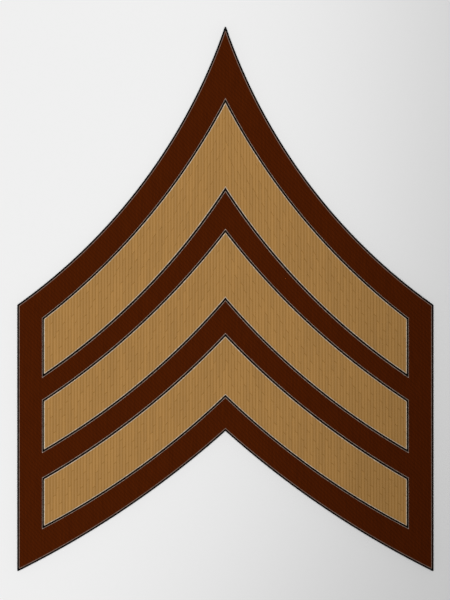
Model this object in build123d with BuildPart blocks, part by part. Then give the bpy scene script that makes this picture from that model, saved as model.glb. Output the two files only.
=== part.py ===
from build123d import *
import os
from typing import NamedTuple

# Cloth sleeve badge: a pointed ground of dark cloth with three bowed stripes, points up,
# each outlined with a fine sewn edge, and another sewn edge round the rim of the ground.
# It lies on its back: +Z out of the face, +Y to the peak, +X to the right as the face is seen.
# The origin is on the back face, half way up and in the middle across. Lengths in millimetres.

# Outline of the badge, with heights measured from its bottom corners before they are rounded
badge_width = 80.0
peak_height = 105.1
shoulder_height = 51.3
notch_height = 27.0

# Border left bare between the straight sides and the ends of the stripes
side_border = 4.9

# Thicknesses, the stripes' and their outlines' measured from the face of the ground
ground_thickness = 1.5
stripe_thickness = 1.0
outline_thickness = 0.8

# Sewn edges: the rim wraps the ground and stands a little above it
rim_width = 0.35
rim_rise = 0.15
outline_width = 0.30
sewing_gap = 0.03

# Roundings, where a sewn edge's inner corners follow the corners of the piece inside it
rim_corner_radius = 0.30
ground_corner_radius = 0.15
outline_corner_radius = 0.20
stripe_corner_radius = 0.15
stripe_crown_radius = 0.30
thread_crown_radius = 0.08


class LongEdge(NamedTuple):
    """One half of a long edge: an arc from the centre line out to the side."""

    peak: float  # share of the way from the notch to the peak
    end: float  # share of the shoulder height
    bow: float  # sag of the arc, as a share of its chord


class Stripe(NamedTuple):
    name: str
    top: LongEdge
    bottom: LongEdge


ground_top = LongEdge(peak=1.0, end=1.0, bow=0.079)
ground_bottom = LongEdge(peak=0.0, end=0.0, bow=0.034)

stripes = (
    Stripe(
        name="upper",
        top=LongEdge(peak=0.817, end=0.950, bow=0.055),
        bottom=LongEdge(peak=0.591, end=0.729, bow=0.050),
    ),
    Stripe(
        name="middle",
        top=LongEdge(peak=0.496, end=0.643, bow=0.042),
        bottom=LongEdge(peak=0.322, end=0.448, bow=0.043),
    ),
    Stripe(
        name="lower",
        top=LongEdge(peak=0.240, end=0.352, bow=0.037),
        bottom=LongEdge(peak=0.084, end=0.163, bow=0.036),
    ),
)


def long_edge(edge, reach):
    """The arc of a long edge, which sags below the straight line from its peak to its end."""
    peak = Vector(0, notch_height + edge.peak * (peak_height - notch_height))
    end = Vector(reach, edge.end * shoulder_height)
    return SagittaArc(peak, end, -edge.bow * (end - peak).length)


def chevron(reach, top, bottom):
    """The flat shape between two long edges, with straight sides and sharp corners."""
    with BuildSketch() as shape:
        with BuildLine():
            upper = long_edge(top, reach)
            lower = long_edge(bottom, reach)
            Line(upper @ 1, lower @ 1)
            mirror(about=Plane.YZ)
        make_face()
    return shape.sketch


def rounded(shape, radius):
    """The same shape with its corners rounded."""
    with BuildSketch() as softened:
        add(shape)
        fillet(softened.vertices(), radius=radius)
    return softened.sketch


def inset(shape, distance):
    """The same shape with all its edges moved inwards and its corners left sharp."""
    return offset(shape, amount=-distance, kind=Kind.INTERSECTION, mode=Mode.PRIVATE)


def sewn_edge(shape, width, outer_radius, inner_radius):
    """The narrow closed band that lies just inside the outline of a shape."""
    with BuildSketch() as band:
        add(rounded(shape, outer_radius))
        add(rounded(inset(shape, width), inner_radius), mode=Mode.SUBTRACT)
    return band.sketch


os.makedirs("parts", exist_ok=True)

ground_shape = chevron(badge_width / 2, ground_top, ground_bottom)

# The shapes are drawn up from the bottom corners, so the back's plane starts half the height lower
middle_height = rounded(ground_shape, rim_corner_radius).bounding_box().center().Y
back = Plane(origin=(0, -middle_height, 0))
face = back.offset(ground_thickness)

# Ground cloth, up to its sewn rim
with BuildPart() as backing:
    with BuildSketch(back):
        add(rounded(inset(ground_shape, rim_width + sewing_gap), ground_corner_radius))
    extrude(amount=ground_thickness)

backing.part.label = "backing"
export_step(backing.part, "parts/backing.step")

# Sewn rim, wrapped over the whole thickness of the ground
with BuildPart() as border_edging:
    with BuildSketch(back):
        add(sewn_edge(ground_shape, rim_width, rim_corner_radius, ground_corner_radius))
    extrude(amount=ground_thickness + rim_rise)
    fillet(border_edging.edges().group_by(Axis.Z)[-1], radius=thread_crown_radius)

border_edging.part.label = "border_edging"
export_step(border_edging.part, "parts/border_edging.step")

# Stripes laid on the face of the ground, each inside its own sewn outline
stripe_reach = badge_width / 2 - side_border

for stripe in stripes:
    stripe_shape = chevron(stripe_reach, stripe.top, stripe.bottom)
    filling_shape = inset(stripe_shape, outline_width + sewing_gap)

    with BuildPart() as filling:
        with BuildSketch(face):
            add(rounded(filling_shape, stripe_corner_radius))
        extrude(amount=stripe_thickness)
        fillet(filling.edges().group_by(Axis.Z)[-1], radius=stripe_crown_radius)

    filling.part.label = f"stripe_{stripe.name}"
    export_step(filling.part, f"parts/stripe_{stripe.name}.step")

    with BuildPart() as outline:
        with BuildSketch(face):
            add(sewn_edge(stripe_shape, outline_width, outline_corner_radius, stripe_corner_radius))
        extrude(amount=outline_thickness)
        fillet(outline.edges().group_by(Axis.Z)[-1], radius=thread_crown_radius)

    outline.part.label = f"edging_{stripe.name}"
    export_step(outline.part, f"parts/edging_{stripe.name}.step")
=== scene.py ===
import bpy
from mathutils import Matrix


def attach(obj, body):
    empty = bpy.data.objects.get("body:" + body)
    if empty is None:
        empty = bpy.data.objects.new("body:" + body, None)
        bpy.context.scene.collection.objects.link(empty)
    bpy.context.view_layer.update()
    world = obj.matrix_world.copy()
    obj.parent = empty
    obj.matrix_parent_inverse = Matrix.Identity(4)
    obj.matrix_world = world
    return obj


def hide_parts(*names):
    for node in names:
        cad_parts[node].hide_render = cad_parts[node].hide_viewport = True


bl_info = {
    "name": "Embroidered Rank Chevron",
    "version": (1, 0, 0),
    "blender": (4, 5, 0),
    "location": "3D Viewport > Sidebar > Badge",
    "description": "Lays a cloth sleeve badge with three embroidered stripes, sewn outlines and a sewn rim",
    "category": "Add Mesh",
}

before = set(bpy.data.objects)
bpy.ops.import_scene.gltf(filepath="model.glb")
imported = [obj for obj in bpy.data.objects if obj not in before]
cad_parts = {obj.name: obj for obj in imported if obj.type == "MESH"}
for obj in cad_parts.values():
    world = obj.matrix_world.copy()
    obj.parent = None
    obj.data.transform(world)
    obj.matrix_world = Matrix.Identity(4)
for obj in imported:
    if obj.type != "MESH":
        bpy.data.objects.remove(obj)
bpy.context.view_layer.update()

import math
import random
from typing import NamedTuple

import bmesh
import bpy
from bmesh.types import BMFace, BMVert
from bpy.props import FloatProperty, FloatVectorProperty, IntProperty, PointerProperty
from mathutils import Matrix, Vector, noise

# The badge lies on its back with its points up: +Z out of the face, +Y to the peak.
# Lengths are in metres and angles in radians.
# Heights in the outline are measured from the bottom corners.

BASE_LINE = -0.0523286      # the bottom corners before they are rounded, in the frame's Y
TOUCHING = 1e-7             # points nearer than this are one point
ARC_STEPS = 32              # runs in one half of a long edge
CORNER_STEPS = 4            # runs in a rounded corner
SHARP = math.radians(15)    # a corner turns more than this
CREASE = math.radians(40)   # faces that meet at more than this show a crease
UPRIGHT = 0.5               # a face whose normal rises less than this stands upright
CLOTH_ROWS = 36             # rows of faces from the ground's lower edge to its upper one
PUCKER_SCALE = 140.0        # the sewn cloth rises and falls about this often in a metre
MM = 1000.0                 # patterns in the materials are worked out in millimetres


def length(name, default, description):
    return FloatProperty(name=name, description=description, default=default, min=0.0, precision=5,
                         unit="LENGTH")


def location(name, default, description):
    return FloatVectorProperty(name=name, description=description, default=default, size=len(default),
                               subtype="TRANSLATION", unit="LENGTH")


def power(name, default, description):
    return FloatProperty(name=name, description=description, default=default, min=0.0, unit="POWER")


def long_edge(name, default):
    words = "Height at the peak, as a share of the way from notch to peak, height at the end, " \
            "as a share of the shoulders' height, and how far the edge sags, as a share of its chord"
    return FloatVectorProperty(name=name, description=words, default=default, min=0.0, max=1.0, precision=3)


def colour(name, default, description):
    return FloatVectorProperty(name=name, description=description, default=default, min=0.0, max=1.0,
                               size=4, subtype="COLOR")


class BadgeShape(bpy.types.PropertyGroup):
    """The outlines of the ground and of its three stripes, as they are in the CAD part."""

    width: length("Width", 0.080, "From side to side")
    peak_height: length("Peak height", 0.1051, "From the bottom corners to the sharp peak")
    shoulder_height: length("Shoulder height", 0.0513, "From the bottom corners to the shoulders")
    notch_height: length("Notch height", 0.027, "From the bottom corners to the tip of the notch")
    side_border: length("Side border", 0.0049, "Bare ground between the sides and the stripes' ends")
    ground_top: long_edge("Ground, upper edge", (1.0, 1.0, 0.079))
    ground_bottom: long_edge("Ground, lower edge", (0.0, 0.0, 0.034))
    upper_top: long_edge("Upper stripe, upper edge", (0.817, 0.950, 0.055))
    upper_bottom: long_edge("Upper stripe, lower edge", (0.591, 0.729, 0.050))
    middle_top: long_edge("Middle stripe, upper edge", (0.496, 0.643, 0.042))
    middle_bottom: long_edge("Middle stripe, lower edge", (0.322, 0.448, 0.043))
    lower_top: long_edge("Lower stripe, upper edge", (0.240, 0.352, 0.037))
    lower_bottom: long_edge("Lower stripe, lower edge", (0.084, 0.163, 0.036))


class ClothSizes(bpy.types.PropertyGroup):
    """The ground cloth."""

    thickness: length("Thickness", 0.0015, "Stiffened twill, from back to face")
    yarn: length("Yarn", 0.00027, "From one yarn of the twill to the next")
    pucker: length("Pucker", 0.00003, "How far the sewn cloth rises and falls")
    flat_width: length("Cut width", 0.080, "Width of the cloth as it is cut")
    flat_length: length("Cut length", 0.1043, "Length of the cloth as it is cut")


class ThreadSizes(bpy.types.PropertyGroup):
    """The stitches of the stripes, the outlines and the rim."""

    fill_top: length("Filling height", 0.0010, "Top of the stripes' stitches over the ground's face")
    fill_pitch: length("Filling pitch", 0.000575, "From one row of stitches to the next")
    fill_stitch: length("Filling stitch", 0.0060, "Length of one stitch of the filling")
    fill_width: length("Filling thread width", 0.00083,
                       "Width of a stitch, pressed flat and overlapping the next")
    fill_thickness: length("Filling thread thickness", 0.00034, "Thickness of a stitch, pressed flat")
    edge_dip: length("Dip at the edge", 0.00028, "How far a stitch dives at the edge of its stripe")
    break_dip: length("Dip at a break", 0.00003, "How far a stitch dives where the next one goes on")
    outline_band: length("Outline band", 0.00030, "Room that a stripe's outline has")
    outline_width: length("Outline width", 0.000285,
                          "Width of the sewn line, which lies at the inner side of its room")
    outline_height: length("Outline height", 0.0008, "Height of the sewn line over the ground's face")
    outline_pitch: length("Outline pitch", 0.00027, "From one stitch of the outline to the next")
    outline_strand: length("Outline strand", 0.00011, "Thickness of the outline's thread")
    rim_band: length("Rim band", 0.00037, "Room that the rim has")
    rim_width: length("Rim width", 0.00034,
                      "Width of the sewn rim, which lies at the inner side of its room")
    rim_rise: length("Rim rise", 0.00015, "Height of the sewn rim over the ground's face")
    rim_pitch: length("Rim pitch", 0.00036, "From one stitch of the rim to the next")
    rim_strand: length("Rim strand", 0.00015, "Thickness of the rim's thread")
    sewing_gap: length("Sewing gap", 0.00003, "Clear space between a sewn line and its neighbour")
    seed: IntProperty(name="Seed", description="Start of the small differences between stitches", default=11)


class Finishes(bpy.types.PropertyGroup):
    """Colours of the cloth, the threads and the floor."""

    ground_cloth: colour("Ground cloth", (0.061, 0.0094, 0.0003, 1.0), "Dark brown twill")
    # Painted highlight: a pale band painted on the ground cloth beside the sewn lines
    ground_highlight: colour("Ground highlight", (0.43, 0.34, 0.28, 1.0),
                          "Pale highlight painted beside the sewn lines")
    tan_thread: colour("Tan thread", (0.380, 0.197, 0.052, 1.0), "Filling of the stripes")
    # Painted highlight: a pale band painted on the tan thread's ends beside the sewn lines
    tan_highlight: colour("Tan highlight", (0.80, 0.67, 0.52, 1.0), "Thread ends with a painted highlight beside the sewn lines")
    black_thread: colour("Black thread", (0.0035, 0.003, 0.003, 1.0), "Outlines and rim")
    floor: colour("Floor", (0.85, 0.85, 0.85, 1.0), "Pale matte surface under the badge")


class StudioSettings(bpy.types.PropertyGroup):
    """The floor, the camera and the lights."""

    floor_reach: length("Floor reach", 1.5, "From the middle of the floor to its sides")
    lens: FloatProperty(name="Lens", description="Focal length in millimetres", default=200.0, min=1.0,
                        unit="CAMERA")
    view_height: length("View height", 0.11516, "Height of the picture at the badge's face")
    view_centre: location("View centre", (-0.000077, -0.000118), "Middle of the picture on the badge's face")
    dome: FloatProperty(name="Dome", description="Strength of the even light from all round", default=0.1,
                        min=0.0)
    softbox: power("Softbox", 46.5, "Power of the large square lamp overhead")
    softbox_size: length("Softbox size", 1.0, "Side of the large lamp")
    softbox_height: length("Softbox height", 3.0, "From the floor to the large lamp")
    spot: power("Spot", 381.6, "Power of the soft-edged lamp, which points straight down")
    spot_place: location("Spot place", (-0.2233, 0.0598, 4.8), "Where the soft-edged lamp hangs, upper left")
    spot_cone: FloatProperty(name="Spot cone", description="Full angle of the soft-edged lamp's cone",
                             default=2 * math.radians(3.5763), min=0.0, subtype="ANGLE")
    spot_blend: FloatProperty(name="Spot blend", description="Share of the cone in which the light fades",
                              default=0.4535, min=0.0, max=1.0, subtype="FACTOR")
    spot_radius: length("Spot radius", 0.0276, "Radius of the soft-edged lamp, which softens its shadows")


class Badge(bpy.types.PropertyGroup):
    """Everything that a user can change."""

    shape: PointerProperty(type=BadgeShape)
    cloth: PointerProperty(type=ClothSizes)
    thread: PointerProperty(type=ThreadSizes)
    finish: PointerProperty(type=Finishes)
    studio: PointerProperty(type=StudioSettings)


class Arc(NamedTuple):
    """The right half of a long edge, which is the lower left part of a circle."""

    centre: Vector
    radius: float

    def height(self, x):
        return self.centre.y - math.sqrt(self.radius ** 2 - (x - self.centre.x) ** 2)

    def bearing(self, x):
        return math.atan2(self.height(x) - self.centre.y, x - self.centre.x)

    def slope(self, x):
        return (x - self.centre.x) / (self.centre.y - self.height(x))


class Chevron(NamedTuple):
    """The shape between two long edges and two straight sides."""

    top: Arc
    bottom: Arc
    reach: float

    def inset(self, distance):
        top = Arc(self.top.centre, self.top.radius + distance)
        bottom = Arc(self.bottom.centre, self.bottom.radius - distance)
        return Chevron(top, bottom, self.reach - distance)


def arc_of(shape, edge, reach):
    """The circle of a long edge, from its heights at the centre line and at its end and from its sag."""
    peak, end, bow = edge
    start = Vector((0.0, BASE_LINE + shape.notch_height + peak * (shape.peak_height - shape.notch_height)))
    finish = Vector((reach, BASE_LINE + end * shape.shoulder_height))
    chord = finish - start
    sag = bow * chord.length
    radius = chord.length_squared / (8 * sag) + sag / 2
    upwards = Vector((-chord.y, chord.x)).normalized()
    return Arc((start + finish) / 2 + upwards * (radius - sag), radius)


def ground_chevron(shape):
    reach = shape.width / 2
    return Chevron(arc_of(shape, shape.ground_top, reach), arc_of(shape, shape.ground_bottom, reach), reach)


def stripe_chevrons(shape):
    """The three stripes' outlines, by name."""
    reach = shape.width / 2 - shape.side_border
    edges = {
        "upper": (shape.upper_top, shape.upper_bottom),
        "middle": (shape.middle_top, shape.middle_bottom),
        "lower": (shape.lower_top, shape.lower_bottom),
    }
    return {name: Chevron(arc_of(shape, top, reach), arc_of(shape, bottom, reach), reach)
            for name, (top, bottom) in edges.items()}


def spun_edge(bm, arc, reach, height):
    """A vertex at the peak, spun round the arc's centre to the end of the edge."""
    peak = bm.verts.new((0.0, arc.height(0.0), height))
    turn = arc.bearing(reach) - arc.bearing(0.0)
    bmesh.ops.spin(bm, geom=[peak], cent=(*arc.centre, height), axis=(0.0, 0.0, 1.0), angle=turn,
                   steps=ARC_STEPS)


def chevron_sheet(chevron, height, rows=1):
    """A flat sheet of the chevron's shape: two spun edges are bridged, divided in rows and mirrored."""
    bm = bmesh.new()
    spun_edge(bm, chevron.top, chevron.reach, height)
    spun_edge(bm, chevron.bottom, chevron.reach, height)
    rungs = bmesh.ops.bridge_loops(bm, edges=bm.edges[:])["edges"]
    bmesh.ops.subdivide_edges(bm, edges=rungs, cuts=rows - 1, use_grid_fill=True)
    bmesh.ops.mirror(bm, geom=bm.verts[:] + bm.edges[:] + bm.faces[:], axis="X", merge_dist=TOUCHING)
    bmesh.ops.recalc_face_normals(bm, faces=bm.faces[:])
    if sum(face.normal.z for face in bm.faces) < 0:
        bmesh.ops.reverse_faces(bm, faces=bm.faces[:])
    return bm


def round_corners(bm, radius):
    """Rounds the corners of a flat sheet's edge that point outwards. The notch's corner stays sharp."""
    corners = [v for v in bm.verts if v.is_boundary and edge_turn(v) > SHARP]
    for corner in corners:
        offset = radius * math.tan(edge_turn(corner) / 2)
        bmesh.ops.bevel(bm, geom=[corner], offset=offset, offset_type="OFFSET", affect="VERTICES",
                        segments=CORNER_STEPS, profile=0.5, material=-1)


def edge_turn(vert):
    """How sharply a sheet's edge turns at one of its points, less than nothing where it turns inwards."""
    leaving = next(corner for corner in vert.link_loops if corner.edge.is_boundary)
    arriving = next(corner for corner in vert.link_loops if corner.link_loop_prev.edge.is_boundary)
    ahead = leaving.link_loop_next.vert.co - vert.co
    behind = vert.co - arriving.link_loop_prev.vert.co
    return ahead.xy.angle_signed(behind.xy)


def outline_face(chevron, height, corner):
    """The chevron's shape as one face, with its outward corners rounded."""
    bm = chevron_sheet(chevron, height)
    bmesh.ops.dissolve_faces(bm, faces=bm.faces[:])
    round_corners(bm, corner)
    return bm


def only(kind, geometry):
    """What is of one kind, faces or vertices, in an operator's result."""
    return [item for item in geometry if isinstance(item, kind)]


def raise_sheet(bm, thickness):
    """Gives a flat sheet its thickness, upwards, and returns the points of its upper side."""
    upper = only(BMVert, bmesh.ops.extrude_face_region(bm, geom=bm.faces[:])["geom"])
    bmesh.ops.translate(bm, vec=(0.0, 0.0, thickness), verts=upper)
    bmesh.ops.recalc_face_normals(bm, faces=bm.faces[:])
    return upper


class Margins(NamedTuple):
    """How far a core keeps inside its stitches, and the radius of its outward corners."""

    side: float
    top: float
    corner: float


OUTLINE_CORE = Margins(side=0.00001, top=0.00004, corner=0.0001)
RIM_CORE = Margins(side=0.00002, top=0.00005, corner=0.00017)


def sewn_core(line, low, high, width, margins):
    """The closed band under a row of overcast stitches."""
    bm = outline_face(line.inset(margins.side), low, margins.corner)
    middle = bm.faces[:]
    bmesh.ops.inset_individual(bm, faces=middle, thickness=width - 2 * margins.side, use_even_offset=True)
    bmesh.ops.delete(bm, geom=middle, context="FACES")
    raise_sheet(bm, high - margins.top - low)
    return bm


class Place(NamedTuple):
    """A point on a sewn line, with the direction along the line and the one away from the shape."""

    point: Vector
    along: Vector
    outwards: Vector


def places_along(chevron, pitch):
    """Places for whole stitches round the chevron's outline, evenly spaced from each corner to the next."""
    bm = chevron_sheet(chevron, height=0.0)
    bmesh.ops.dissolve_faces(bm, faces=bm.faces[:])
    face, = bm.faces
    points = [v.co.copy() for v in face.verts]
    corners = [i for i, vert in enumerate(face.verts) if abs(edge_turn(vert)) > SHARP]
    bm.free()
    places = []
    for first, last in zip(corners, [*corners[1:], corners[0] + len(points)]):
        side = [points[i % len(points)] for i in range(first, last + 1)]
        places += places_on_side(side, pitch)
    return places


def places_on_side(side, pitch):
    """Places for whole stitches along a row of points."""
    spans = [(end - start).length for start, end in zip(side, side[1:])]
    stitches = round(sum(spans) / pitch)
    spacing = sum(spans) / stitches
    places = []
    run = 0
    passed = 0.0
    for number in range(stitches):
        distance = (number + 0.5) * spacing
        while passed + spans[run] < distance:
            passed += spans[run]
            run += 1
        along = (side[run + 1] - side[run]).normalized()
        outwards = Vector((along.y, -along.x, 0.0))
        places.append(Place(side[run] + along * (distance - passed), along, outwards))
    return places


STRAND = "strand"           # the attribute with a stitch's own number, which sets its shade
THREAD_SIDES = 6            # sides of a thread
FILLING_RINGS = 7           # rings of points between the ends of a filling stitch
CROWDING = 0.7              # below 1, these rings crowd towards the ends, where the stitch bends
DIVING = 0.25               # share of a filling stitch that dives, at each end
DIVE_POWER = 2.5            # how suddenly it dives
THINNING = 0.18             # how much thinner an end is that dives by its own thickness
THINNING_POWER = 3          # how suddenly it thins
UNDER_STEPS = 3             # runs in an overcast stitch's turn below its band
OVER_STEPS = 5              # runs in its turn over the band
OVERLAP = 1.05              # width of an overcast stitch along its line, in pitches
OUTLINE_SLANT = 0.12        # how far an outline's stitches lean along it
SLANT_SPREAD = 0.05         # how far a stitch leans more or less than the others
STAGGER = (0.0, 0.5, 0.25, 0.75)    # where the breaks fall in four neighbouring rows, in stitches
EDGE_CLEARANCE = 0.3        # the least from a stripe's edge to a break, in stitches
BREAK_SPREAD = 0.0002       # how far a break falls from its even place
ROW_SPREAD = 0.03           # how far a row lies from its even place, in pitches
SINKING = 0.00003           # how much deeper a stitch lies, at most
SEWN_IN = 0.0001            # how far what is sewn on the ground reaches into it
UNDERLAY_INSET = 0.00006    # how far the underlay keeps inside the filling's edge
UNDERLAY_DROP = 0.00022     # how far its top lies under the tops of the stitches
OUTLINE_CLEARANCE = 0.00001     # what an outline leaves free at the inner side of its room


def finished_pattern(bm, name):
    """One stitch as a mesh that is copied to each place."""
    bmesh.ops.recalc_face_normals(bm, faces=bm.faces[:])
    for face in bm.faces:
        face.smooth = True
    pattern = bpy.data.meshes.new(name)
    bm.to_mesh(pattern)
    bm.free()
    pattern.attributes.new(STRAND, "FLOAT", "POINT")
    return pattern


def filling_pattern(width, thickness, start_dip, end_dip):
    """One stitch of the filling: a thread of unit length along Y that dives at both ends."""
    bm = bmesh.new()
    bmesh.ops.create_cone(bm, cap_ends=True, cap_tris=False, segments=THREAD_SIDES, radius1=width / 2,
                          radius2=width / 2, depth=1.0, matrix=Matrix.Rotation(math.pi / 2, 4, "X"))
    long_sides = [e for e in bm.edges if abs(e.verts[0].co.y - e.verts[1].co.y) > 0.5]
    bmesh.ops.subdivide_edges(bm, edges=long_sides, cuts=FILLING_RINGS)
    for vert in bm.verts:
        near_end = max(0.0, (abs(vert.co.y) - (0.5 - DIVING)) / DIVING)
        dip = start_dip if vert.co.y < 0 else end_dip
        vert.co.y = math.copysign(0.5 * math.sin(abs(vert.co.y) * math.pi) ** CROWDING, vert.co.y)
        thinned = 1.0 - THINNING * (dip / thickness) * near_end ** THINNING_POWER
        vert.co.x *= thinned
        vert.co.z *= thinned * thickness / width
        vert.co.z -= thickness / 2 + dip * near_end ** DIVE_POWER
    return finished_pattern(bm, "filling stitch")


def overcast_pattern(name, half_width, thread, leg, along, under):
    """One stitch that goes up the outer side of a band, over it, and down on the inner side.
    It stands on z = 0 with X outwards and Y along the band. Under is its turn below the band."""
    bm = bmesh.new()
    arm = half_width - thread / 2
    ring = bmesh.ops.create_circle(bm, cap_ends=True, segments=THREAD_SIDES, radius=thread / 2,
                                   matrix=Matrix.Translation((arm, 0.0, 0.0)))
    bmesh.ops.scale(bm, vec=(1.0, along / thread, 1.0), verts=ring["verts"])
    foot = bm.faces[:]
    if under:
        base = arm + thread / 2
        bmesh.ops.translate(bm, vec=(0.0, 0.0, base), verts=ring["verts"])
        bmesh.ops.rotate(bm, verts=ring["verts"], cent=(0.0, 0.0, base),
                         matrix=Matrix.Rotation(under, 3, "Y"))
        end = bmesh.ops.spin(bm, geom=foot, cent=(0.0, 0.0, base), axis=(0.0, 1.0, 0.0), angle=-under,
                             steps=UNDER_STEPS)["geom_last"]
    else:
        base = 0.0
        end = foot
    end = bmesh.ops.extrude_face_region(bm, geom=only(BMFace, end))["geom"]
    bmesh.ops.translate(bm, vec=(0.0, 0.0, leg), verts=only(BMVert, end))
    bmesh.ops.spin(bm, geom=only(BMFace, end), cent=(0.0, 0.0, base + leg), axis=(0.0, 1.0, 0.0),
                   angle=-math.pi, steps=OVER_STEPS)
    return finished_pattern(bm, name)


def lay_stitches(bm, pattern, matrices, dice):
    """Adds a copy of the pattern for each matrix. Each stitch has its own strand number for its shade."""
    for matrix in matrices:
        stitch = pattern.copy()
        stitch.transform(matrix)
        stitch.attributes[STRAND].data.foreach_set("value", [dice.random()] * len(stitch.vertices))
        bm.from_mesh(stitch)
        bpy.data.meshes.remove(stitch)


def as_piece(bm, name, material, node):
    """Makes the finished mesh a piece that rides on the badge and stands for its CAD node."""
    mesh = bpy.data.meshes.new(name)
    bm.to_mesh(mesh)
    bm.free()
    mesh.materials.append(material)
    piece = bpy.data.objects.new(name, mesh)
    bpy.context.scene.collection.objects.link(piece)
    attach(piece, "root")
    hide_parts(node)


class NodePen:
    """Adds nodes to a material or a node group and joins them."""

    def __init__(self, tree):
        self.tree = tree

    def feed(self, socket, value):
        """Links a value to a socket, or sets it there."""
        if isinstance(value, bpy.types.NodeSocket):
            self.tree.links.new(value, socket)
        else:
            socket.default_value = value

    def add(self, kind, inputs=(), **settings):
        node = self.tree.nodes.new(kind)
        for name, value in settings.items():
            setattr(node, name, value)
        for socket, value in dict(inputs).items():
            self.feed(node.inputs[socket], value)
        return node

    def math(self, operation, *values):
        return self.add("ShaderNodeMath", enumerate(values), operation=operation).outputs[0]

    def vector(self, operation, *values):
        node = self.add("ShaderNodeVectorMath", enumerate(values), operation=operation)
        return node.outputs["Value" if operation == "LENGTH" else "Vector"]

    def scaled(self, vector, factor):
        return self.add("ShaderNodeVectorMath", {0: vector, 3: factor}, operation="SCALE").outputs[0]

    def split(self, vector):
        return self.add("ShaderNodeSeparateXYZ", {0: vector}).outputs

    def noise(self, position, scale, detail):
        return self.add("ShaderNodeTexNoise", {"Vector": position, "Scale": scale, "Detail": detail}).outputs

    def mix(self, factor, first, second, blend="MIX"):
        node = self.add("ShaderNodeMix", {0: factor, 6: first, 7: second}, data_type="RGBA", blend_type=blend)
        return node.outputs[2]

    def group(self, name, **inputs):
        node = self.add("ShaderNodeGroup", node_tree=bpy.data.node_groups[name])
        for socket, value in inputs.items():
            self.feed(node.inputs[socket.replace("_", " ").capitalize()], value)
        return node.outputs


def new_group(name, inputs, outputs):
    """An empty node group with named sockets, and its pen."""
    tree = bpy.data.node_groups.new(name, "ShaderNodeTree")
    for socket, kind in inputs.items():
        tree.interface.new_socket(socket, in_out="INPUT", socket_type=f"NodeSocket{kind}")
    for socket, kind in outputs.items():
        tree.interface.new_socket(socket, in_out="OUTPUT", socket_type=f"NodeSocket{kind}")
    pen = NodePen(tree)
    return pen, pen.add("NodeGroupInput").outputs, pen.add("NodeGroupOutput").inputs


def make_edge_distance():
    """Distance from a chevron's edge in millimetres, less than nothing inside it.
    An arc is given as its centre's X and Y and its radius."""
    pen, given, out = new_group(
        "Edge distance",
        {"Position": "Vector", "Top arc": "Vector", "Bottom arc": "Vector", "Reach": "Float"},
        {"Distance": "Float"})
    point = pen.split(given["Position"])
    aside = pen.math("ABSOLUTE", point["X"])
    folded = pen.add("ShaderNodeCombineXYZ", {"X": aside, "Y": point["Y"]}).outputs[0]
    beyond = []
    for name, shape_inside in (("Top arc", False), ("Bottom arc", True)):
        arc = pen.split(given[name])
        centre = pen.add("ShaderNodeCombineXYZ", {"X": arc["X"], "Y": arc["Y"]}).outputs[0]
        away = pen.vector("LENGTH", pen.vector("SUBTRACT", folded, centre))
        terms = (away, arc["Z"]) if shape_inside else (arc["Z"], away)
        beyond.append(pen.math("SUBTRACT", *terms))
    sideways = pen.math("SUBTRACT", aside, given["Reach"])
    pen.feed(out["Distance"], pen.math("MAXIMUM", pen.math("MAXIMUM", *beyond), sideways))


def make_highlight_band():
    """A soft band between two distances from an edge, broken up a little, which masks a painted highlight
    beside the sewn lines.
    """
    pen, given, out = new_group(
        "Highlight band",
        {"Position": "Vector", "Distance": "Float", "Start": "Float", "End": "Float", "Softness": "Float"},
        {"Mask": "Float"})
    patches = pen.noise(given["Position"], scale=2.5, detail=4.0)["Fac"]
    uneven = pen.add("ShaderNodeMapRange", {"Value": patches, "From Min": 0.35, "From Max": 0.6,
                                            "To Min": 0.55, "To Max": 1.0}).outputs[0]
    first = pen.add("ShaderNodeMapRange", {
        "Value": given["Distance"], "From Min": pen.math("SUBTRACT", given["Start"], given["Softness"]),
        "From Max": given["Start"]}, interpolation_type="SMOOTHSTEP").outputs[0]
    last = pen.add("ShaderNodeMapRange", {
        "Value": given["Distance"], "From Min": given["End"],
        "From Max": pen.math("ADD", given["End"], given["Softness"]), "To Min": 1.0, "To Max": 0.0},
        interpolation_type="SMOOTHSTEP").outputs[0]
    pen.feed(out["Mask"], pen.math("MULTIPLY", pen.math("MULTIPLY", first, last), uneven))


FLOAT_CROSSINGS = 3.0       # crossings that a float of the twill passes over
FLOAT_LEAN = 0.7            # how far its ends lean over the width of its yarn, in crossings
FLOAT_POWER = 0.6           # below 1, it stays high almost to its ends
YARN_DRIFT = 0.35           # how far the yarns wander, at most, in millimetres
FLECK_STRETCH = (3.0, 0.4, 1.0)     # colour flecks are fine across the yarns and long along them
FLECK_SHARE = 0.45          # what the flecks add to the shade, at most
PAINTED_RELIEF_SHADE = 0.55         # what the relief adds to it, at most: painted shade, darker where the weave lies low


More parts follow.
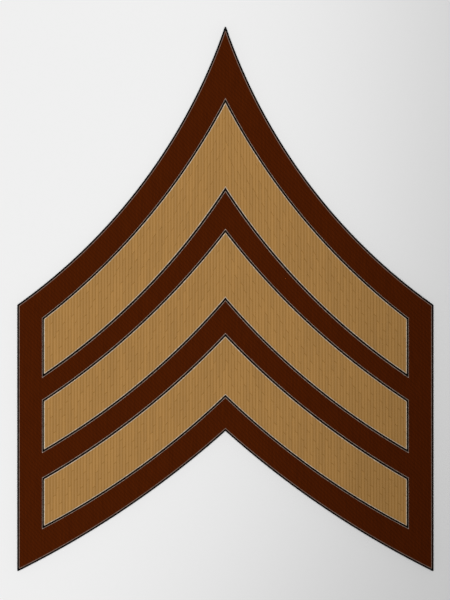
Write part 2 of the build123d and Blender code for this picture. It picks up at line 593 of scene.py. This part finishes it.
def make_twill():
    """A twill's yarns, side by side along Y. The floats of neighbouring yarns start one crossing apart,
    which makes the slanting ribs."""
    pen, given, out = new_group("Twill", {"Position": "Vector", "Yarn": "Float"},
                                {"Height": "Float", "Shade": "Float"})
    drift = pen.scaled(pen.noise(given["Position"], scale=0.25, detail=1.0)["Color"], YARN_DRIFT)
    point = pen.split(pen.vector("ADD", given["Position"], drift))
    across = pen.math("DIVIDE", point["X"], given["Yarn"])
    part = pen.math("FRACT", across)
    later = pen.math("MULTIPLY_ADD", part, FLOAT_LEAN, pen.math("FLOOR", across))
    crossing = pen.math("ADD", pen.math("DIVIDE", point["Y"], given["Yarn"]), later)
    along = pen.math("DIVIDE", crossing, FLOAT_CROSSINGS)
    round_yarn = pen.math("SINE", pen.math("MULTIPLY", part, math.pi))
    arch = pen.math("SINE", pen.math("MULTIPLY", pen.math("FRACT", along), math.pi))
    height = pen.math("MULTIPLY", round_yarn, pen.math("POWER", arch, FLOAT_POWER))
    pen.feed(out["Height"], height)
    stretched = pen.vector("MULTIPLY", given["Position"], FLECK_STRETCH)
    fleck = pen.noise(stretched, scale=1.0, detail=3.0)["Fac"]
    # Painted shade: the weave is coloured darker where it lies low, on top of the flecks' own tone
    relief = pen.math("MULTIPLY", height, PAINTED_RELIEF_SHADE)
    pen.feed(out["Shade"], pen.math("MULTIPLY_ADD", fleck, FLECK_SHARE, relief))


def make_thread_twist():
    """The fine slanting plies of a twisted thread."""
    pen, given, out = new_group("Thread twist", {"Position": "Vector", "Pitch": "Float", "Slant": "Float"},
                                {"Height": "Float"})
    turned = pen.add("ShaderNodeVectorRotate", {"Vector": given["Position"], "Angle": given["Slant"]},
                     rotation_type="Z_AXIS").outputs[0]
    across = pen.split(turned)["X"]
    plies = pen.math("SINE", pen.math("MULTIPLY", across, pen.math("DIVIDE", 2 * math.pi, given["Pitch"])))
    pen.feed(out["Height"], pen.math("MULTIPLY_ADD", plies, 0.5, 0.5))


def new_material(name):
    """An empty material with its surface, and the position on the piece in millimetres."""
    material = bpy.data.materials.new(name)
    material.use_nodes = True
    pen = NodePen(material.node_tree)
    surface = material.node_tree.nodes["Principled BSDF"].inputs
    position = pen.scaled(pen.add("ShaderNodeTexCoord").outputs["Object"], MM)
    return material, pen, surface, position


def bumped(pen, surface, height, strength, depth):
    """Turns a height pattern into the surface's fine relief. Depth is in metres."""
    bump = pen.add("ShaderNodeBump", {"Strength": strength, "Distance": depth, "Height": height})
    pen.feed(surface["Normal"], bump.outputs["Normal"])


def edge_distance(pen, position, chevron):
    """Distance from one chevron's edge, in millimetres."""
    def in_mm(arc):
        return arc.centre.x * MM, arc.centre.y * MM, arc.radius * MM
    return pen.group("Edge distance", position=position, top_arc=in_mm(chevron.top),
                     bottom_arc=in_mm(chevron.bottom), reach=chevron.reach * MM)["Distance"]


def nearest_stripe(pen, position, shape):
    """Distance from the nearest stripe's edge, in millimetres, less than nothing inside it."""
    upper, middle, lower = (edge_distance(pen, position, c) for c in stripe_chevrons(shape).values())
    return pen.math("MINIMUM", pen.math("MINIMUM", upper, middle), lower)


# Shades are shares of a material's own colour.

RIM_HIGHLIGHT = 0.5              # how strong the painted highlight is beside the rim, against beside a stripe
PLY_SLANT = math.radians(35)    # how far the plies of a twisted thread are turned
TAN_DARKEST = 0.80          # the darkest shade of the tan thread
TAN_BY_STRAND = 0.10        # what a tan stitch's own number adds, at most
TAN_BY_DYE = 0.10           # what its uneven dye adds, at most
TAN_BY_FIBRE = 0.20         # what its fibres add, at most
FIBRE_STRETCH = (14.0, 0.7, 14.0)   # fibres are fine across the stitches and long along them
FIBRE_RELIEF = 1.2          # how high the fibres stand, against the plies
BLACK_DARKEST = 0.75        # the darkest shade of the black thread
BLACK_BY_STRAND = 0.5       # what a black stitch's own number adds, at most
FLOOR_DARKEST = 0.995       # the darkest shade of the paper floor
FLOOR_BY_GRAIN = 0.01       # what its grain adds, at most


def make_ground_cloth(badge):
    """Dark brown twill, partly darkened by painted shade where its weave lies low, with a pale painted
    highlight beside the sewn lines.
    """
    finish = badge.finish
    material, pen, surface, position = new_material("Brown twill")
    weave = pen.group("Twill", position=position, yarn=badge.cloth.yarn * MM)
    shade = pen.add("ShaderNodeMapRange", {"Value": weave["Shade"], "From Min": 0.1, "From Max": 0.9,
                                           "To Min": 0.65, "To Max": 1.35}).outputs[0]
    plain = pen.mix(1.0, finish.ground_cloth, shade, "MULTIPLY")
    rim = badge.thread.rim_band * MM
    outwards = nearest_stripe(pen, position, badge.shape)
    by_stripe = pen.group("Highlight band", position=position, distance=outwards, start=0.01, end=0.06,
                          softness=0.05)["Mask"]
    inwards = pen.math("MULTIPLY", edge_distance(pen, position, ground_chevron(badge.shape)), -1.0)
    by_rim = pen.group("Highlight band", position=position, distance=inwards, start=rim + 0.03, end=rim + 0.09,
                       softness=0.05)["Mask"]
    by_rim = pen.math("MULTIPLY", by_rim, RIM_HIGHLIGHT)
    on_face = pen.math("GREATER_THAN", pen.split(position)["Z"], badge.cloth.thickness * MM / 2)
    # Painted highlight: the cloth's face is painted paler beside the stripes and, more weakly, beside the rim
    cloth_highlight = pen.math("MULTIPLY", pen.math("MAXIMUM", by_stripe, by_rim), on_face)
    pen.feed(surface["Base Color"], pen.mix(cloth_highlight, plain, finish.ground_highlight))
    surface["Roughness"].default_value = 0.9
    surface["Specular IOR Level"].default_value = 0.03
    bumped(pen, surface, weave["Height"], strength=0.6, depth=0.00008)
    return material


def make_tan_thread(badge):
    """Golden tan thread, slightly lustrous, with a pale painted highlight where it turns down beside the
    outlines.
    """
    finish = badge.finish
    material, pen, surface, position = new_material("Tan embroidery thread")
    strand = pen.add("ShaderNodeAttribute", attribute_name=STRAND).outputs["Fac"]
    dye = pen.noise(position, scale=0.12, detail=2.0)["Fac"]
    fibres = pen.noise(pen.vector("MULTIPLY", position, FIBRE_STRETCH), scale=1.0, detail=2.0)["Fac"]
    own = pen.math("MULTIPLY_ADD", strand, TAN_BY_STRAND, TAN_DARKEST)
    shade = pen.math("ADD", own, pen.math("MULTIPLY", dye, TAN_BY_DYE))
    shade = pen.math("MULTIPLY_ADD", fibres, TAN_BY_FIBRE, shade)
    plain = pen.mix(1.0, finish.tan_thread, shade, "MULTIPLY")
    inwards = pen.math("MULTIPLY", nearest_stripe(pen, position, badge.shape), -1.0)
    line = (badge.thread.outline_band + badge.thread.sewing_gap) * MM
    # Painted highlight: the thread is painted paler where it turns down beside the outlines
    thread_highlight = pen.group("Highlight band", position=position, distance=inwards, start=line - 0.05, end=line + 0.10,
                     softness=0.08)["Mask"]
    pen.feed(surface["Base Color"], pen.mix(thread_highlight, plain, finish.tan_highlight))
    surface["Roughness"].default_value = 0.6
    surface["Specular IOR Level"].default_value = 0.2
    plies = pen.group("Thread twist", position=position, pitch=0.16, slant=PLY_SLANT)["Height"]
    relief = pen.math("MULTIPLY_ADD", fibres, FIBRE_RELIEF, plies)
    bumped(pen, surface, relief, strength=0.4, depth=0.00003)
    return material


def make_black_thread(badge):
    """Black twisted thread."""
    material, pen, surface, position = new_material("Black sewing thread")
    strand = pen.add("ShaderNodeAttribute", attribute_name=STRAND).outputs["Fac"]
    shade = pen.math("MULTIPLY_ADD", strand, BLACK_BY_STRAND, BLACK_DARKEST)
    pen.feed(surface["Base Color"], pen.mix(1.0, badge.finish.black_thread, shade, "MULTIPLY"))
    surface["Roughness"].default_value = 0.75
    surface["Specular IOR Level"].default_value = 0.04
    plies = pen.group("Thread twist", position=position, pitch=0.12, slant=PLY_SLANT)["Height"]
    bumped(pen, surface, plies, strength=0.3, depth=0.00002)
    return material


def black_thread(badge):
    """The one black material of the outlines and the rim."""
    return bpy.data.materials.get("Black sewing thread") or make_black_thread(badge)


def make_floor_finish(badge):
    """Pale matte paper."""
    material, pen, surface, position = new_material("Pale floor")
    grain = pen.noise(position, scale=0.8, detail=5.0)["Fac"]
    shade = pen.math("MULTIPLY_ADD", grain, FLOOR_BY_GRAIN, FLOOR_DARKEST)
    pen.feed(surface["Base Color"], pen.mix(1.0, badge.finish.floor, shade, "MULTIPLY"))
    surface["Roughness"].default_value = 1.0
    surface["Specular IOR Level"].default_value = 0.0
    return material


def puckered(point, depth):
    """Height of the sewn cloth at a point against its flat face, from minus the given depth to nothing."""
    return depth * (noise.noise(Vector((point.x, point.y, 0.0)) * PUCKER_SCALE) - 1.0) / 2


class BADGE_OT_ground(bpy.types.Operator):
    """Lay the brown ground cloth"""

    bl_idname = "badge.ground"
    bl_label = "Ground cloth"

    def execute(self, context):
        badge = context.scene.badge
        thread = badge.thread
        cloth = ground_chevron(badge.shape).inset(thread.rim_band - thread.sewing_gap)
        bm = chevron_sheet(cloth, height=0.0, rows=CLOTH_ROWS)
        round_corners(bm, thread.rim_width / 2)
        for vert in raise_sheet(bm, badge.cloth.thickness):
            vert.co.z += puckered(vert.co, badge.cloth.pucker)
        for face in bm.faces:
            face.smooth = abs(face.normal.z) > UPRIGHT
        for edge in bm.edges:
            edge.smooth = edge.calc_face_angle(0.0) < CREASE
        as_piece(bm, "ground_cloth", make_ground_cloth(badge), "backing")
        return {"FINISHED"}


def stitch_rows(filling, top, thread, dice):
    """A matrix for each stitch: rows from the lower edge to the upper one, with staggered breaks.
    They are sorted by whether a stitch starts at the lower edge and whether it ends at the upper one."""
    count = 2 * round(filling.reach / thread.fill_pitch)
    pitch = 2 * filling.reach / count
    matrices = {(first, last): [] for first in (False, True) for last in (False, True)}
    for row in range(count):
        x = -filling.reach + (row + 0.5) * pitch
        stagger = STAGGER[row % len(STAGGER)] * thread.fill_stitch
        low = filling.bottom.height(abs(x))
        high = filling.top.height(abs(x))
        breaks = [low]
        number = math.ceil((low - stagger) / thread.fill_stitch + EDGE_CLEARANCE)
        while number * thread.fill_stitch + stagger < high - EDGE_CLEARANCE * thread.fill_stitch:
            spread = dice.uniform(-BREAK_SPREAD, BREAK_SPREAD)
            breaks.append(number * thread.fill_stitch + stagger + spread)
            number += 1
        breaks.append(high)
        lower_slope = math.copysign(filling.bottom.slope(abs(x)), -x)
        upper_slope = math.copysign(filling.top.slope(abs(x)), -x)
        x += dice.uniform(-ROW_SPREAD, ROW_SPREAD) * pitch
        for start, end in zip(breaks, breaks[1:]):
            part = ((start + end) / 2 - low) / (high - low)
            shear = lower_slope + part * (upper_slope - lower_slope)
            matrices[start == low, end == high].append(Matrix((
                (1.0, 0.0, 0.0, x),
                (shear, end - start, 0.0, (start + end) / 2),
                (0.0, 0.0, 1.0, top + dice.uniform(-SINKING, 0.0)),
                (0.0, 0.0, 0.0, 1.0),
            )))
    return matrices


def keep_inside(bm, chevron):
    """Pulls every point that stands over a chevron's outline back to it."""
    for vert in bm.verts:
        aside = min(abs(vert.co.x), chevron.reach)
        vert.co.x = math.copysign(aside, vert.co.x)
        vert.co.y = min(max(vert.co.y, chevron.bottom.height(aside)), chevron.top.height(aside))


class BADGE_OT_stripes(bpy.types.Operator):
    """Embroider the three tan stripes"""

    bl_idname = "badge.stripes"
    bl_label = "Stripes"

    def execute(self, context):
        badge = context.scene.badge
        thread = badge.thread
        dice = random.Random(thread.seed)
        face = badge.cloth.thickness
        top = face + thread.fill_top
        dips = {False: thread.break_dip, True: thread.edge_dip}
        patterns = {
            (start, end): filling_pattern(thread.fill_width, thread.fill_thickness, dips[start], dips[end])
            for start in dips for end in dips}
        material = make_tan_thread(badge)
        for name, chevron in stripe_chevrons(badge.shape).items():
            filling = chevron.inset(thread.outline_band + thread.sewing_gap)
            bm = chevron_sheet(filling.inset(UNDERLAY_INSET), face - SEWN_IN)
            round_corners(bm, thread.outline_width / 2)
            raise_sheet(bm, thread.fill_top - UNDERLAY_DROP + SEWN_IN)
            for edges_met, matrices in stitch_rows(filling, top, thread, dice).items():
                lay_stitches(bm, patterns[edges_met], matrices, dice)
            keep_inside(bm, filling)
            as_piece(bm, f"embroidery_{name}", material, f"stripe_{name}")
        for pattern in patterns.values():
            bpy.data.meshes.remove(pattern)
        return {"FINISHED"}


def overcast(places, base, slant, dice):
    """A matrix for each overcast stitch: X outwards, Y along the line, standing at the base height."""
    matrices = []
    for place in places:
        turn = Matrix((
            (place.outwards.x, place.along.x, 0.0, place.point.x),
            (place.outwards.y, place.along.y, 0.0, place.point.y),
            (0.0, 0.0, 1.0, base),
            (0.0, 0.0, 0.0, 1.0),
        ))
        lean = slant + dice.uniform(-SLANT_SPREAD, SLANT_SPREAD)
        matrices.append(turn @ Matrix.Rotation(lean, 4, "Z"))
    return matrices


class BADGE_OT_outlines(bpy.types.Operator):
    """Sew the black outlines round the stripes"""

    bl_idname = "badge.outlines"
    bl_label = "Stripe outlines"

    def execute(self, context):
        badge = context.scene.badge
        thread = badge.thread
        dice = random.Random(thread.seed + 1)
        face = badge.cloth.thickness
        half = thread.outline_width / 2
        pattern = overcast_pattern("outline stitch", half, thread.outline_strand,
                                   leg=thread.outline_height - half, along=thread.outline_pitch * OVERLAP,
                                   under=0.0)
        for name, chevron in stripe_chevrons(badge.shape).items():
            line = chevron.inset(thread.outline_band - thread.outline_width - OUTLINE_CLEARANCE)
            bm = sewn_core(line, low=face - SEWN_IN, high=face + thread.outline_height,
                           width=thread.outline_width, margins=OUTLINE_CORE)
            places = places_along(line.inset(half), thread.outline_pitch)
            lay_stitches(bm, pattern, overcast(places, base=face, slant=OUTLINE_SLANT, dice=dice), dice)
            as_piece(bm, f"outline_{name}", black_thread(badge), f"edging_{name}")
        bpy.data.meshes.remove(pattern)
        return {"FINISHED"}


class BADGE_OT_rim(bpy.types.Operator):
    """Sew the black rim round the ground"""

    bl_idname = "badge.rim"
    bl_label = "Rim"

    def execute(self, context):
        badge = context.scene.badge
        thread = badge.thread
        dice = random.Random(thread.seed + 2)
        half = thread.rim_width / 2
        height = badge.cloth.thickness + thread.rim_rise
        pattern = overcast_pattern("rim stitch", half, thread.rim_strand, leg=height - 2 * half,
                                   along=thread.rim_pitch * OVERLAP, under=math.pi / 2)
        line = ground_chevron(badge.shape).inset(thread.rim_band - thread.rim_width)
        bm = sewn_core(line, low=0.0, high=height, width=thread.rim_width, margins=RIM_CORE)
        places = places_along(line.inset(half), thread.rim_pitch)
        lay_stitches(bm, pattern, overcast(places, base=0.0, slant=0.0, dice=dice), dice)
        as_piece(bm, "sewn_rim", black_thread(badge), "border_edging")
        bpy.data.meshes.remove(pattern)
        return {"FINISHED"}


def aimed(name, data, place, target):
    """A lamp or camera at a place, pointed at a target."""
    thing = bpy.data.objects.new(name, data)
    thing.location = place
    thing.rotation_euler = (Vector(target) - Vector(place)).to_track_quat("-Z", "Y").to_euler()
    bpy.context.scene.collection.objects.link(thing)
    return thing


class BADGE_OT_studio(bpy.types.Operator):
    """Set up the floor, the camera and the lights"""

    bl_idname = "badge.studio"
    bl_label = "Studio"

    def execute(self, context):
        badge = context.scene.badge
        studio = badge.studio
        bm = bmesh.new()
        bmesh.ops.create_grid(bm, x_segments=1, y_segments=1, size=studio.floor_reach)
        mesh = bpy.data.meshes.new("floor")
        bm.to_mesh(mesh)
        bm.free()
        mesh.materials.append(make_floor_finish(badge))
        floor = bpy.data.objects.new("floor", mesh)
        context.scene.collection.objects.link(floor)

        world = context.scene.world or bpy.data.worlds.new("Studio dome")
        context.scene.world = world
        world.use_nodes = True
        dome = world.node_tree.nodes["Background"].inputs
        dome["Color"].default_value = (1.0, 1.0, 1.0, 1.0)
        dome["Strength"].default_value = studio.dome

        softbox = bpy.data.lights.new("softbox", "AREA")
        softbox.shape = "SQUARE"
        softbox.size = studio.softbox_size
        softbox.energy = studio.softbox
        aimed("softbox", softbox, (0.0, 0.0, studio.softbox_height), (0.0, 0.0, 0.0))

        spot = bpy.data.lights.new("soft_edged_spot", "SPOT")
        spot.energy = studio.spot
        spot.spot_size = studio.spot_cone
        spot.spot_blend = studio.spot_blend
        spot.shadow_soft_size = studio.spot_radius
        aimed("soft_edged_spot", spot, studio.spot_place, (*studio.spot_place.xy, 0.0))

        camera = bpy.data.cameras.new("camera")
        camera.lens = studio.lens
        camera.sensor_width = 36.0
        distance = studio.view_height * studio.lens / camera.sensor_width
        eye = (*studio.view_centre, badge.cloth.thickness + distance)
        context.scene.camera = aimed("camera", camera, eye, (*studio.view_centre, 0.0))
        context.scene.view_settings.view_transform = "Standard"
        return {"FINISHED"}


class BADGE_PT_panel(bpy.types.Panel):
    """The badge's tools and settings"""

    bl_label = "Rank chevron"
    bl_idname = "BADGE_PT_panel"
    bl_space_type = "VIEW_3D"
    bl_region_type = "UI"
    bl_category = "Badge"

    def draw(self, context):
        badge = context.scene.badge
        for step in STEPS:
            self.layout.operator(step.bl_idname)
        for group in (badge.shape, badge.cloth, badge.thread, badge.finish, badge.studio):
            box = self.layout.box()
            for name in group.__annotations__:
                box.prop(group, name)


SETTINGS = (BadgeShape, ClothSizes, ThreadSizes, Finishes, StudioSettings, Badge)
STEPS = (BADGE_OT_ground, BADGE_OT_stripes, BADGE_OT_outlines, BADGE_OT_rim, BADGE_OT_studio)


def register():
    for kind in (*SETTINGS, *STEPS, BADGE_PT_panel):
        bpy.utils.register_class(kind)
    bpy.types.Scene.badge = PointerProperty(type=Badge)


def unregister():
    del bpy.types.Scene.badge
    for kind in reversed((*SETTINGS, *STEPS, BADGE_PT_panel)):
        bpy.utils.unregister_class(kind)


def main():
    register()
    make_edge_distance()
    make_highlight_band()
    make_twill()
    make_thread_twist()
    bpy.ops.badge.ground()
    bpy.ops.badge.stripes()
    bpy.ops.badge.outlines()
    bpy.ops.badge.rim()
    bpy.ops.badge.studio()


if __name__ == "__main__":
    main()
